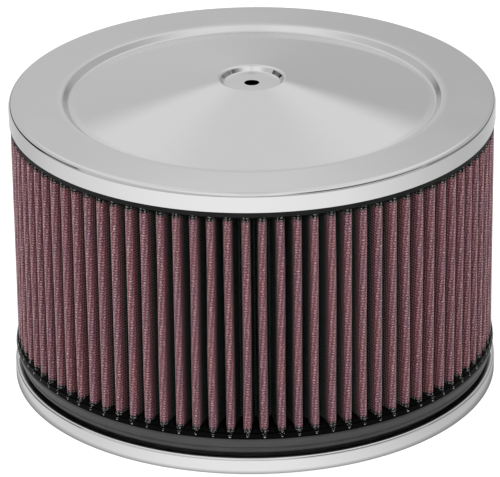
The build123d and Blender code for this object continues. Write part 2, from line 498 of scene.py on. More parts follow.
CHROME_LID = ChromePlate("chrome_plated_drawn_steel_lid", ((86.6, 5.4, 0.16),))
CHROME_BASE = ChromePlate("chrome_plated_drawn_steel_base")
URETHANE_BAND = CastUrethane("urethane_cast_against_mould", "232324", "303031", 0.33, shine=0.7)
# the same urethane drawn darker than the band, as painted shade under the lid's lip
URETHANE_PAINTED_LID_SHADE = CastUrethane("urethane_in_painted_lid_shade", "0E100F", "181A19", 0.5, shine=0.15)
# black urethane drawn near-black with almost no shine: partly its own black, partly painted shade between the
# pleats
URETHANE_OPEN_PAINTED_SHADE = CastUrethane("urethane_set_in_air_with_painted_shade", "020202", "040404", 0.4, shine=0.04, grain=2.2)
GASKET_SHEET = CastUrethane("rubber_sheet_die_cut", "1A1A1A", "262626", 0.6, grain=0.6)
GAUZE = ScreenedGauze("oiled_cotton_gauze_under_wire_screen")
WIRE_END = PlatedStrip("wire_screen_cut_ends", "D8D4D4")
CLIP = PlatedStrip("zinc_plated_rolled_strip")


@dataclass
class Run:
    """One step of an outline: where it starts, and the outward normals at its two ends."""

    start: Point
    normal: Point
    end_normal: Point


def unit(dx: float, dy: float) -> Point:
    """Scale a direction to length one."""
    size = math.hypot(dx, dy)
    return dx / size, dy / size


def outline(corners: list[Point], bends: list[float], turn: float = 9.0) -> list[Run]:
    """Round the corners of a closed outline.

    Args:
        corners: the corners, in radius and height.
        bends: the radius of each corner, 0 for a sharp one.
        turn: degrees that an arc turns in one step.

    Returns:
        The steps of the outline, counter-clockwise, with true normals along the arcs.
    """
    area = sum(a[0] * b[1] - b[0] * a[1] for a, b in zip(corners, corners[1:] + corners[:1]))
    if area < 0:
        corners, bends = corners[::-1], bends[::-1]
    count = len(corners)
    arcs = []
    for i, (corner, bend) in enumerate(zip(corners, bends)):
        before, after = corners[i - 1], corners[(i + 1) % count]
        ux, uy = unit(corner[0] - before[0], corner[1] - before[1])
        vx, vy = unit(after[0] - corner[0], after[1] - corner[1])
        first, last = (uy, -ux), (vy, -vx)
        angle = math.atan2(ux * vy - uy * vx, ux * vx + uy * vy)
        if bend == 0 or abs(angle) < STRAIGHT:
            arcs.append([(corner, first), (corner, last)])
            continue
        cut = bend * math.tan(abs(angle) / 2)
        side = math.copysign(bend, angle)
        begin = (corner[0] - ux * cut, corner[1] - uy * cut)
        centre = (begin[0] - first[0] * side, begin[1] - first[1] * side)
        steps = max(2, math.ceil(abs(math.degrees(angle)) / turn))
        points = []
        for step in range(steps + 1):
            a = angle * step / steps
            normal = (
                first[0] * math.cos(a) - first[1] * math.sin(a),
                first[0] * math.sin(a) + first[1] * math.cos(a),
            )
            points.append(((centre[0] + normal[0] * side, centre[1] + normal[1] * side), normal))
        arcs.append(points)
    runs = []
    for i, points in enumerate(arcs):
        runs += [Run(a[0], a[1], b[1]) for a, b in zip(points, points[1:]) if a[0] != b[0]]
        start, end = points[-1], arcs[(i + 1) % count][0]
        runs.append(Run(start[0], start[1], end[1]))
    return runs


def sheet_outline(upper: list[Point], bends: list[float], gauge: float, edge: float) -> list[Run]:
    """Give a bent sheet its thickness.

    Args:
        upper: the corners along the upper face, from the hole outwards.
        bends: the bend radius at each corner, as on the upper face.
        gauge: thickness of the sheet.
        edge: radius on the sheet's two cut edges.

    Returns:
        The steps of the closed outline.
    """
    sides = []
    for (x0, y0), (x1, y1) in zip(upper, upper[1:]):
        ux, uy = unit(x1 - x0, y1 - y0)
        sides.append((uy, -ux))
    lower = [(upper[0][0] + sides[0][0] * gauge, upper[0][1] + sides[0][1] * gauge)]
    lower_bends = [edge]
    for corner, bend, (ax, ay), (bx, by) in zip(upper[1:-1], bends[1:-1], sides, sides[1:]):
        mx, my = ax + bx, ay + by
        reach = 2 * gauge / (mx * mx + my * my)
        lower.append((corner[0] + mx * reach, corner[1] + my * reach))
        inward = gauge if ax * by - ay * bx < 0 else -gauge
        lower_bends.append(max(bend - inward, LEAST_BEND) if bend else 0.0)
    lower.append((upper[-1][0] + sides[-1][0] * gauge, upper[-1][1] + sides[-1][1] * gauge))
    lower_bends.append(edge)
    return outline([*upper, *reversed(lower)], [edge, *bends[1:-1], edge, *reversed(lower_bends)])


def tube_faces(rings: int, steps: int) -> np.ndarray:
    """Join closed rings of points into a tube that closes on itself.

    Args:
        rings: number of rings.
        steps: points in each ring.

    Returns:
        The four vertex numbers of each face, by ring and step.
    """
    i, j = np.meshgrid(np.arange(rings), np.arange(steps), indexing="ij")
    after, beside = (i + 1) % rings, (j + 1) % steps
    return np.stack([i * steps + j, i * steps + beside, after * steps + beside, after * steps + j], -1)


def turned(name: str, runs: list[Run], steps: int = 240) -> bpy.types.Object:
    """Turn an outline about the axis into a smooth ring.

    Args:
        name: the object's name.
        runs: the steps of the closed outline.
        steps: divisions round the axis.

    Returns:
        The ring, with the outline's true normals.
    """
    starts = np.array([run.start for run in runs])
    angles = np.arange(steps) * math.tau / steps
    turn = np.stack([np.cos(angles), np.sin(angles)], -1)
    radial = starts[:, None, :1] * turn[None]
    height = np.repeat(starts[:, 1:2], steps, 1)[..., None]
    points = np.concatenate([radial, height], -1).reshape(-1, 3) * MM
    faces = tube_faces(len(runs), steps)
    ends = np.array([[run.normal, run.normal, run.end_normal, run.end_normal] for run in runs])
    around = turn[faces % steps]
    across = np.broadcast_to(ends[:, None], around.shape)
    normals = np.concatenate([across[..., :1] * around, across[..., 1:]], -1)
    return shaped(name, points, faces.reshape(-1, 4), normals.reshape(-1, 3))


def put(name: str, data: bpy.types.ID) -> bpy.types.Object:
    """Put an object with this data into the scene."""
    made = bpy.data.objects.new(name, data)
    bpy.context.scene.collection.objects.link(made)
    return made


def shaped(
    name: str, points: np.ndarray, faces: np.ndarray, normals: np.ndarray | None = None
) -> bpy.types.Object:
    """Make a smooth mesh object from arrays.

    Args:
        name: the object's name.
        points: the vertices, in metres.
        faces: four vertex numbers for each face.
        normals: a normal for each corner of each face, where the true ones are known.

    Returns:
        The object, linked into the scene.
    """
    mesh = bpy.data.meshes.new(name)
    mesh.from_pydata(points.tolist(), [], faces.tolist())
    mesh.shade_smooth()
    if normals is not None:
        mesh.normals_split_custom_set(normals.tolist())
    return put(name, mesh)


def settle(made: bpy.types.Object, finish: bpy.types.Material, slot: str, *nodes: str) -> bpy.types.Object:
    """Dress a piece and fix it to the body that it rides on.

    Args:
        made: the piece.
        finish: its material.
        slot: the record's material slot; not used.
        nodes: the CAD nodes that it stands for.

    Returns:
        The piece.
    """
    made.data.materials.clear()
    made.data.materials.append(finish)
    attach(made, "root")
    if nodes:
        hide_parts(*nodes)
    log.info("%s: %d faces", made.name, len(made.data.polygons))
    return made


@dataclass
class Lid:
    """Drawn steel lid: stud hole, dish, shallow cone, locating step, flat flange and turned-down lip."""

    gauge: float = 0.9
    hole_radius: float = 3.45
    dish_floor_radius: float = 13.2
    dish_rim_radius: float = 15.2
    dish_floor: float = 145.65
    dish_rim: float = 148.43
    cone_foot_radius: float = 85.99
    cone_foot: float = 136.7
    step_radius: float = 88.59
    top: float = 139.7
    radius: float = 113.9
    lip_edge: float = 130.1
    bends: list[float] = field(default_factory=lambda: [0, 0.9, 1.75, 1.4, 1.4, 2.5, 0])
    cut_edge: float = 0.2

    def build(self) -> bpy.types.Object:
        """Draw the lid.

        Returns:
            The chromed lid.
        """
        upper = [
            (self.hole_radius, self.dish_floor),
            (self.dish_floor_radius, self.dish_floor),
            (self.dish_rim_radius, self.dish_rim),
            (self.cone_foot_radius, self.cone_foot),
            (self.step_radius, self.top),
            (self.radius, self.top),
            (self.radius, self.lip_edge),
        ]
        made = turned("lid_shell", sheet_outline(upper, self.bends, self.gauge, self.cut_edge))
        return settle(made, CHROME_LID.material(), "lid_chrome", "lid")


@dataclass
class BasePlate:
    """Drawn steel base: neck, gasket ledge, well, pan, locating bead, seat and turned-down rim."""

    gauge: float = 0.9
    neck_radius: float = 66.3
    neck_top: float = 9.3
    ledge_top: float = 3.3
    well_radius: float = 74.3
    well_rim_radius: float = 75.7
    pan: float = 9.6
    bead_inner_radius: float = 81.96
    bead_outer_radius: float = 85.96
    bead_top: float = 11.6
    bead_foot_radius: float = 88.36
    seat: float = 8.0
    radius: float = 114.96
    bends: list[float] = field(default_factory=lambda: [0, 0.6, 1.2, 1.2, 1.2, 1.2, 1.2, 1.5, 0])
    cut_edge: float = 0.2

    def build(self) -> bpy.types.Object:
        """Draw the base.

        Returns:
            The chromed base.
        """
        upper = [
            (self.neck_radius, self.neck_top),
            (self.neck_radius, self.ledge_top),
            (self.well_radius, self.ledge_top),
            (self.well_rim_radius, self.pan),
            (self.bead_inner_radius, self.bead_top),
            (self.bead_outer_radius, self.bead_top),
            (self.bead_foot_radius, self.seat),
            (self.radius, self.seat),
            (self.radius, 0.0),
        ]
        made = turned("base_shell", sheet_outline(upper, self.bends, self.gauge, self.cut_edge))
        return settle(made, CHROME_BASE.material(), "base_chrome", "base_plate")


@dataclass
class NeckGasket:
    """Flat rubber ring, die cut, under the ledge of the base."""

    bore_radius: float = 66.0
    radius: float = 73.0
    bottom: float = 0.4
    top: float = 2.4
    bends: list[float] = field(default_factory=lambda: [0.25, 0.25, 0.1, 0.1])

    def build(self) -> bpy.types.Object:
        """Cut the gasket.

        Returns:
            The rubber ring.
        """
        corners = [
            (self.bore_radius, self.bottom),
            (self.radius, self.bottom),
            (self.radius, self.top),
            (self.bore_radius, self.top),
        ]
        made = turned("neck_gasket_ring", outline(corners, self.bends))
        return settle(made, GASKET_SHEET.material(), "gasket_rubber", "neck_gasket")


@dataclass
class EndSeals:
    """The two cast urethane rings in which the ends of the pleats are set."""

    bore_radius: float = 90.0
    seat: float = 8.0
    foot_radius: float = 108.5
    band_bottom: float = 9.8
    band_radius: float = 114.34
    band_slope: float = 0.279
    groove: float = 12.3
    groove_half: float = 0.6
    groove_depth: float = 0.5
    band_chamfer: float = 16.6
    band_top: float = 17.3
    collar_radius: float = 113.8
    media_bottom: float = 20.0
    media_top: float = 127.6
    top_band_radius: float = 113.5
    top_band_top: float = 129.8
    crown_radius: float = 112.7
    crown_edge: float = 2.0
    top: float = 138.8
    leeway: float = 0.05  # a face this close to the media's ends still counts as set in air

    def build(self) -> list[bpy.types.Object]:
        """Cast both rings.

        Returns:
            The bottom and the top ring.
        """
        band, painted_shade_urethane, open_painted_shade = (made.material() for made in (URETHANE_BAND, URETHANE_PAINTED_LID_SHADE, URETHANE_OPEN_PAINTED_SHADE))
        groove = (self.groove - self.groove_half, self.groove, self.groove + self.groove_half)
        levels = (self.band_bottom, *groove, self.band_chamfer)
        face = [self.band_radius - (self.band_chamfer - level) * self.band_slope for level in levels]
        # each corner and the radius of its bend
        bottom = [
            ((self.bore_radius, self.seat), 0.5),
            ((self.foot_radius, self.seat), 0.3),
            ((self.foot_radius, self.band_bottom), 0.2),
            ((face[0], levels[0]), 0.7),
            ((face[1], levels[1]), 0.5),
            ((face[2] - self.groove_depth, levels[2]), 0.2),
            ((face[3], levels[3]), 0.5),
            ((face[4], levels[4]), 0.4),
            ((self.collar_radius, self.band_top), 0.3),
            ((self.collar_radius, self.media_bottom), 0.4),
            ((self.bore_radius, self.media_bottom), 0.5),
        ]
        top = [
            ((self.bore_radius, self.media_top), 0.5),
            ((self.top_band_radius, self.media_top), 0.5),
            ((self.top_band_radius, self.top_band_top), 0.2),
            ((self.crown_radius, self.top_band_top), 0.2),
            ((self.crown_radius, self.top - self.crown_edge), 0.6),
            ((self.crown_radius - self.crown_edge, self.top), 0.6),
            ((self.bore_radius, self.top), 0.6),
        ]
        rings = []
        for name, node, profile, finish in (
            ("bottom_ring", "bottom_seal", bottom, band),
            # the top ring takes the darker urethane: painted shade from the lid
            ("top_ring", "top_seal", top, painted_shade_urethane),
        ):
            runs = outline([corner for corner, _ in profile], [bend for _, bend in profile])
            ring = settle(turned(name, runs), finish, "urethane", node)
            ring.data.materials.append(open_painted_shade)
            for face in ring.data.polygons:
                height = face.center.z / MM
                face.material_index = int(self.band_top - self.leeway < height < self.media_top + self.leeway)
            rings.append(ring)
        return rings


class End(Enum):
    """Which end of the pleats."""

    BOTTOM = 1
    TOP = -1


@dataclass
class PleatedElement:
    """The folded sheet, the urethane that climbs between its folds, and the cut ends of its screen."""

    pleats: int = 90
    outer_radius: float = 113.3
    depth: float = 19.0
    thickness: float = 1.4
    fold_inside: float = 0.5
    seam_azimuth: float = 90.0
    bottom: float = 20.0
    top: float = 127.6
    set_in: float = 0.8  # the ends run this far into the urethane
    crest_steps: int = 10
    wall_steps: int = 3
    root_steps: int = 6
    rows: int = 12
    crease: float = 60.0  # degrees from which an edge stays sharp
    sway: float = 0.30  # degrees that a crest may stand off its place
    sway_spread: float = 0.4
    sway_at_ends: float = 0.35  # the share of it that is left where the crest is potted
    tilt_share: float = 0.4
    wave_share: float = 0.6
    slack: float = 0.15  # how far a crest may sit inside the full radius
    slack_at_ends: float = 0.4
    slack_shares: Band = (0.6, 0.4)  # of its bow and of its wave

    wick_valley: float = 3.2
    wick_crest: float = 0.5
    wick_uneven: Band = (0.65, 1.1)
    wick_curve: float = 1.6  # how sharply it falls away from the valley to the crest
    wick_top: float = 0.55  # how far it comes down at the top, beside its climb at the bottom
    wick_inset: float = 0.15
    wick_steps: int = 12  # divisions to a pleat
    # for each ring of the skirt: inset on a crest, further inset in a valley, share of the climb, and how
    # deep it is sunk in the seal
    wick_rings: tuple[tuple[float, ...], ...] = (
        (0.0, 0.0, 0.0, 0.6),
        (0.0, 0.1, 0.35, 0.0),
        (0.2, 0.9, 0.85, 0.0),
        (0.8, 2.2, 1.0, 0.0),
        (6.0, 0.0, 1.15, 0.0),
        (9.0, 0.0, 0.0, 0.6),
    )

    wire_diameter: float = 0.45
    wire_rows: int = 4  # rows of knuckles below a crest, each one shorter, down to a single last one
    wires_missing: float = 0.2  # share of the knuckles that are left out
    knuckle_start: float = 0.9  # height of the top row over the sheet's end
    knuckle_drop: float = 0.85  # from each row to the next
    knuckle_reach: float = 0.42  # half a row's width, for each row that is still below it
    knuckle_stray: Band = (0.1, 0.12)  # across, and up or down
    knuckle_sizes: Band = (0.3, 0.5)  # in wire diameters
    knuckle_shape: Point3 = (1.2, 0.7, 0.8)  # across, outwards and upwards
    last_size: float = 1.9  # the last one, beside the others
    last_width: float = 1.7
    collar_radius: float = 113.8
    seed: int = 7

    def __post_init__(self) -> None:
        """Draw the seeded unevenness of every pleat."""
        dice = np.random.default_rng(self.seed)
        self.lean = dice.normal(0, self.sway_spread, (3, self.pleats)).clip(-1, 1) * self.sway
        self.drop = dice.uniform(0, 1, (2, self.pleats)) * self.slack
        self.dice = dice

    def fold_line(self) -> np.ndarray:
        """Follow the middle of the sheet over one pleat, crest at azimuth 0.

        Returns:
            For each step: x, y and the outward normal.
        """
        half = math.pi / self.pleats
        bend = self.fold_inside + self.thickness / 2
        wide = self.fold_inside + self.thickness
        crest = np.array([self.outer_radius - wide, 0.0])
        root_radius = self.outer_radius - self.depth + wide
        root = root_radius * np.array([math.cos(half), math.sin(half)])
        span = root - crest
        tilt = math.atan2(span[1], span[0]) - math.acos(2 * bend / np.hypot(*span))
        rows = []
        for step in range(self.wall_steps):
            share = step / self.wall_steps
            normal = np.array([math.cos(tilt), -math.sin(tilt)])
            start = root * [1, -1] - normal * bend
            rows.append((start + (crest + normal * bend - start) * share, normal))
        for step in range(self.crest_steps):
            a = -tilt + 2 * tilt * step / self.crest_steps
            normal = np.array([math.cos(a), math.sin(a)])
            rows.append((crest + normal * bend, normal))
        for step in range(self.wall_steps):
            share = step / self.wall_steps
            normal = np.array([math.cos(tilt), math.sin(tilt)])
            start = crest + normal * bend
            rows.append((start + (root - normal * bend - start) * share, normal))
        for step in range(self.root_steps):
            a = tilt - 2 * (tilt - half) * step / self.root_steps
            normal = np.array([math.cos(a), math.sin(a)])
            rows.append((root - normal * bend, normal))
        return np.array([np.concatenate(row) for row in rows])

    def sheet(self) -> bpy.types.Object:
        """Fold the sheet.

        Returns:
            The pleated sheet, with its unfolded millimetres as texture coordinates.
        """
        one = self.fold_line()
        pitch = math.tau / self.pleats
        first = math.radians(self.seam_azimuth) + pitch / 2
        place, normal, number = [], [], []
        for pleat in range(self.pleats):
            a = first + pleat * pitch
            spin = np.array([[math.cos(a), math.sin(a)], [-math.sin(a), math.cos(a)]])
            last = pleat == self.pleats - 1
            rows = one[: len(one) - self.root_steps + 1] if last else one
            place.append(rows[:, :2] @ spin)
            normal.append(rows[:, 2:] @ spin)
            number += [pleat] * len(rows)
        place, normal, number = np.concatenate(place), np.concatenate(normal), np.array(number)
        unfolded = np.concatenate([[0.0], np.cumsum(np.hypot(*np.diff(place, axis=0).T))])

        low, high = self.bottom - self.set_in, self.top + self.set_in
        z = np.linspace(low, high, self.rows)
        t = (z - low) / (high - low)
        faces_out = self.bowed(place + normal * self.thickness / 2, number, t, z)
        faces_in = self.bowed(place - normal * self.thickness / 2, number, t, z)
        columns = len(place)
        points = np.concatenate([faces_out.reshape(-1, 3), faces_in.reshape(-1, 3)]) * MM
        i, j = np.meshgrid(np.arange(columns - 1), np.arange(self.rows - 1), indexing="ij")
        a = (i * self.rows + j).ravel()
        b, c, d = a + self.rows, a + self.rows + 1, a + 1
        back = columns * self.rows
        grid = np.stack([a, b, c, d], -1)
        quads = [grid, grid[:, ::-1] + back]
        edge = np.arange(columns - 1) * self.rows
        for row, flip in ((0, 1), (self.rows - 1, -1)):
            rim = edge + row
            cap = np.stack([rim, rim + back, rim + self.rows + back, rim + self.rows], -1)
            quads.append(cap[:, ::flip])
        rise = np.arange(self.rows - 1)
        for column, flip in ((0, 1), (columns - 1, -1)):
            base = column * self.rows + rise
            cap = np.stack([base, base + 1, base + 1 + back, base + back], -1)
            quads.append(cap[:, ::flip])
        made = shaped("pleated_sheet", points, np.concatenate(quads))
        made.data.set_sharp_from_angle(angle=math.radians(self.crease))
        layer = made.data.uv_layers.new(name="unfolded")
        corner = np.array([loop.vertex_index for loop in made.data.loops]) % back
        spread = np.stack([unfolded[corner // self.rows], z[corner % self.rows]], -1)
        layer.data.foreach_set("uv", spread.ravel().astype(np.float32))
        return settle(made, GAUZE.material(), "gauze", "pleated_media")

    def bowed(self, place: np.ndarray, number: np.ndarray, t: np.ndarray, z: np.ndarray) -> np.ndarray:
        """Give each crest its own small lean and bow.

        Args:
            place: points of one face of the sheet, in plan.
            number: the pleat that each point belongs to.
            t: height of each row as a share of the sheet's.
            z: height of each row.

        Returns:
            The face's points, by column and row.
        """
        radius, azimuth = np.hypot(*place.T)[:, None], np.arctan2(place[:, 1], place[:, 0])[:, None]
        share = ((radius - self.outer_radius + self.depth) / self.depth).clip(0, 1)
        bow, wave = np.sin(math.pi * t), np.sin(math.tau * t)
        held = self.sway_at_ends + (1 - self.sway_at_ends) * bow
        lean, tilt, swing = self.lean[:, number, None]
        off = lean * held + tilt * (2 * t - 1) * self.tilt_share + swing * wave * self.wave_share
        bowed_in, waved_in = self.drop[:, number, None]
        inward = bowed_in * (self.slack_at_ends + (1 - self.slack_at_ends) * bow) * self.slack_shares[0]
        inward = inward + waved_in * (0.5 + 0.5 * wave) * self.slack_shares[1]
        azimuth = azimuth + np.radians(off) * share
        radius = radius - inward * share
        height = np.broadcast_to(z, radius.shape)
        return np.stack([radius * np.cos(azimuth), radius * np.sin(azimuth), height], -1)

    def wick(self, end: End) -> bpy.types.Object:
        """Let the urethane climb between the folds at one end.

        Args:
            end: the end of the pleats.

        Returns:
            The scalloped skirt of urethane.
        """
        per = self.wick_steps
        steps = self.pleats * per
        angle = math.radians(self.seam_azimuth) + np.arange(steps) * math.tau / steps
        valley = 0.5 + 0.5 * np.cos(np.arange(steps) * math.tau / per)
        uneven = self.dice.uniform(*self.wick_uneven, self.pleats)
        uneven = np.interp(np.arange(steps) / per, np.arange(self.pleats + 1), [*uneven, uneven[0]])
        level = self.bottom if end is End.BOTTOM else self.top
        rise = self.wick_crest + (self.wick_valley - self.wick_crest) * valley**self.wick_curve * uneven
        if end is End.TOP:
            rise = rise * self.wick_top
        rings = []
        for inset, further, climbed, sunk in self.wick_rings:
            radius = self.outer_radius - self.wick_inset - further * valley - inset
            height = level + end.value * (climbed * rise - sunk)
            rings.append(np.stack([radius * np.cos(angle), radius * np.sin(angle), height], -1))
        faces = tube_faces(len(rings), steps).reshape(-1, 4)[:, :: end.value]
        made = shaped(f"potting_{end.name.lower()}", np.concatenate(rings) * MM, faces)
        return settle(made, URETHANE_OPEN_PAINTED_SHADE.material(), "urethane")

    def cut_wires(self) -> bpy.types.Object:
        """Leave the last knuckles of the screen showing below each crest, where the urethane is thin.

        Returns:
            The knuckles and cut ends, as one object.
        """
        pitch = math.tau / self.pleats
        sides, levels = 6, 3
        tilt = (np.arange(levels) + 0.5) / levels * math.pi
        around = [(math.cos(a), math.sin(a)) for a in np.arange(sides) * math.tau / sides]
        ball = [(math.sin(t) * x, math.sin(t) * y, math.cos(t)) for t in tilt for x, y in around]
        wide = self.fold_inside + self.thickness
        last = self.wire_rows - 1
        stray, stray_up = self.knuckle_stray
        points, faces = [], []
        for pleat in range(self.pleats):
            crest = math.radians(self.seam_azimuth) + (pleat + 0.5) * pitch
            out = np.array([math.cos(crest), math.sin(crest), 0.0])
            side, up = np.array([-out[1], out[0], 0.0]), np.array([0.0, 0.0, 1.0])
            for row in range(self.wire_rows):
                below = row == last
                for place in [0.0] if below else np.linspace(-1, 1, self.wire_rows - row):
                    if self.dice.uniform() < self.wires_missing and not below:
                        continue
                    across = place * self.knuckle_reach * (last - row) + self.dice.normal(0, stray)
                    height = self.bottom + self.knuckle_start - self.knuckle_drop * row
                    height += self.dice.normal(0, stray_up)
                    on_crest = self.outer_radius - wide + math.sqrt(wide**2 - across**2)
                    reach = on_crest if height > self.bottom else self.collar_radius
                    size = self.wire_diameter * self.dice.uniform(*self.knuckle_sizes)
                    size *= self.last_size if below else 1.0
                    width, deep, tall = self.knuckle_shape
                    width = self.last_width if below else width
                    middle = out * reach + side * across + up * height
                    start = len(points)
                    points += [
                        middle + size * (x * side * width + y * out * deep + z * up * tall)
                        for x, y, z in ball
                    ]
                    for level in range(levels - 1):
                        for k in range(sides):
                            high, low = start + level * sides, start + (level + 1) * sides
                            n = (k + 1) % sides
                            faces.append((high + k, low + k, low + n, high + n))
                    for c, order in ((start, 1), (start + (levels - 1) * sides, -1)):
                        faces += [(c, c + 1, c + 2, c + 3)[::order], (c, c + 3, c + 4, c + 5)[::order]]
        made = shaped("screen_wire_ends", np.array(points) * MM, np.array(faces))
        return settle(made, WIRE_END.material(), "gauze")

    def build(self) -> None:
        """Fold, pot and trim the element, and dress its seam clip."""
        self.sheet()
        self.wick(End.BOTTOM)
        self.wick(End.TOP)
        self.cut_wires()
        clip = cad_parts["seam_clip"]
        clip.data.materials.clear()
        clip.data.materials.append(CLIP.material())
        log.info("seam_clip: the CAD node, in plated steel")


@dataclass(frozen=True)
class Lamp:
    """One soft square lamp that looks at the element and stays out of the chrome."""

    name: str
    place: Point3  # in metres
    size: float  # side of the square, in metres
    level: float  # the share of a white surface's brightness that it gives, square on
    aim: Point3 = (0.0, 0.0, 0.07)  # in metres

    def build(self) -> None:
        """Hang the lamp."""
        data = bpy.data.lights.new(self.name, "AREA")
        data.size = self.size
        aim = Vector(self.aim) - Vector(self.place)
        data.energy = self.level * math.pi**2 * aim.length_squared
        made = put(self.name, data)
        made.location = self.place
        made.rotation_euler = aim.to_track_quat("-Z", "Y").to_euler()
        made.visible_glossy = False


@dataclass
class Studio:
    """Plain white studio: pale floor, soft lamps, and the cards that bright metal shows.

    Towards +Y, over the object from the camera, hangs a grey card with paler sky above it. To the left of
    that card the room is black to well above the horizon and to the right it is dark. Behind the camera
    there is only a low grey line, and to its right a dark panel high up.
    """

    # the camera, fitted to the photograph: degrees, millimetres, and pixels of the photograph
    elevation: float = 24.69
    roll: float = -0.7
    distance: float = 1872.0
    focal_pixels: float = 3931.36
    aim_height: float = 57.7
    aim_right: float = 3.79
    aim_below: float = 14.76
    width_pixels: float = 500.0
    sensor: float = 36.0
    clip: float = 50.0  # metres

    fill: float = 0.2  # the room's light on everything
    lamps: tuple[Lamp, ...] = (
        Lamp("left_lamp", (-1.45, 0.4, 0.7), 0.9, 1.26),
        Lamp("right_lamp", (1.45, 0.4, 0.7), 0.9, 0.87),
        Lamp("front_lamp", (0.0, -1.5, 0.9), 0.8, 0.78),
    )

    # The room in the chrome, by the way that the chrome looks: parts of 1 to the right, ahead and up. A Band
    # says where one tone gives way to the next.
    card_left: float = 0.585
    card_right: float = 0.50
    card_halves: Band = (-0.06, 0.06)
    card_top: Band = (0.365, 0.395)  # where the card gives way to the sky
    card_rise: Band = (0.35, 0.85)  # how much higher both of these lie for each part aside
    card_side: Band = (0.19, 0.26)  # the dark stays off the card as far aside as this
    card_ahead: Band = (0.0, 0.2)
    sky_behind: float = 0.80
    sky_ahead: float = 0.70
    sky_turn: Band = (-0.6, 0.3)
    sky_sides: float = 0.08  # how much brighter the sky is to either side
    sides_edge: Band = (0.05, 0.14)
    zenith: float = 0.89  # the sky straight up, as a share of the sky at its side
    zenith_edge: Band = (0.85, 1.0)
    dark_left: float = 0.015
    dark_right: float = 0.33
    dark_halves: Band = (-0.2, 0.2)
    dark_behind: float = 0.30
    behind_edge: Band = (-0.1, 0.0)
    dark_sides: float = 0.55  # straight to either side, so that the lid is not black when seen from there
    straight_edge: Band = (0.91, 0.965)
    reach: float = 0.57  # how high the dark stands straight to either side
    reach_behind: float = 0.06
    reach_ahead: float = 0.04
    rising_edge: Band = (-0.15, 0.08)
    dark_blur: float = 0.05
    panel: float = 0.80  # how much of the light a dark panel takes, high up to the right and behind
    panel_top: float = 0.58
    panel_slope: float = -0.27  # how much higher its top edge lies for each part ahead
    panel_blur: float = 0.04
    panel_bottom: Band = (0.38, 0.42)
    panel_left: Band = (0.2, 0.4)
    panel_ahead: Band = (0.05, -0.05)
    below: float = 0.5  # the chrome's underside looks down into this, where the floor ends
    below_edge: float = -0.01

    # painted light and shade of the floor as the chrome sees it, by azimuth from the front in degrees, left
    # negative: close to the object, where it is shaded, and well away from it
    painted_floor_near: tuple[Point, ...] = (
        (-180, 0.50),
        (-75, 0.69),
        (-45, 0.74),
        (-25, 0.88),
        (-5, 0.95),
        (15, 0.88),
        (45, 0.63),
        (75, 0.52),
        (180, 0.45),
    )
    painted_floor_far: tuple[Point, ...] = (
        (-180, 0.80),
        (-125, 0.58),
        (-95, 0.70),
        (-60, 0.86),
        (-20, 0.97),
        (20, 0.94),
        (45, 0.84),
        (77, 0.645),
        (120, 0.55),
        (180, 0.80),
    )
    floor_half: float = 4.0  # metres
    floor_paint: float = 0.82
    floor_seen: float = 0.3  # the paint as the camera sees it, which takes the shadow
    floor_white: float = 0.82  # the white that the camera sees over it
    object_radius: float = 115.0
    painted_contact_shadow: Band = (-2.0, 3.5)  # painted shadow on the floor in the chrome: from black beside the rim to fully lit, in millimetres outside it
    far_edge: Band = (30.0, 160.0)  # from the near ring to the far ring, in the same measure

    def room(self) -> None:
        """Light the room evenly, and show white to the camera and the cards to bright metal."""
        world = bpy.data.worlds.new("studio")
        bpy.context.scene.world = world
        world.use_nodes = True
        tree = world.node_tree
        tree.nodes.clear()
        ray = add(tree, "LightPath").node.outputs
        way = add(tree, "TexCoord").node.outputs["Generated"]
        right, ahead, up = add(tree, "SeparateXYZ", (way,)).node.outputs
        aside = add(tree, "Math", (right,), operation="ABSOLUTE")
        way = (right, aside, ahead, up)
        seen = add(tree, "Math", (self.cards(tree, way), self.lit(tree, way)), operation="MULTIPLY")
        below = add(tree, "MapRange", (up, 0.0, self.below_edge, 0.0, self.below))
        seen = add(tree, "Math", (seen, below), operation="MAXIMUM")

        shown = {"Factor": ray["Is Camera Ray"], "A": seen, "B": 1.0}
        view = add(tree, "Background", {"Color": add(tree, "Mix", shown)})
        light = add(tree, "Background", {"Color": (1, 1, 1, 1), "Strength": self.fill})
        direct = add(tree, "Math", (ray["Is Camera Ray"], ray["Is Glossy Ray"]), operation="ADD")
        direct = add(tree, "Math", (direct, ray["Is Transmission Ray"]), operation="ADD", use_clamp=True)
        mixed = add(tree, "MixShader", (direct, light, view))
        add(tree, "OutputWorld", {"Surface": mixed})

    def cards(self, tree: Tree, way: tuple[Socket, ...]) -> Socket:
        """Hang the grey card, with the paler sky above it.

        Args:
            tree: the world's tree.
            way: how far the chrome looks to the right, to either side, ahead (over the object from the
                camera) and up.

        Returns:
            The brightness of the card or the sky.
        """
        right, aside, ahead, up = way
        card = add(tree, "MapRange", (right, *self.card_halves, self.card_left, self.card_right), **SMOOTH)
        sky = add(tree, "MapRange", (ahead, *self.sky_turn, self.sky_behind, self.sky_ahead))
        sides = add(tree, "MapRange", (aside, *self.sides_edge, 0.0, self.sky_sides), **SMOOTH)
        sky = add(tree, "Math", (sky, sides), operation="ADD")
        top = add(tree, "MapRange", (up, *self.zenith_edge, 1.0, self.zenith), **SMOOTH)
        sky = add(tree, "Math", (sky, top), operation="MULTIPLY")
        lower, upper = (
            add(tree, "Math", (aside, rise, start), operation="MULTIPLY_ADD")
            for rise, start in zip(self.card_rise, self.card_top)
        )
        above = add(tree, "MapRange", (up, lower, upper), **SMOOTH)
        return add(tree, "Mix", {"Factor": above, "A": card, "B": sky})

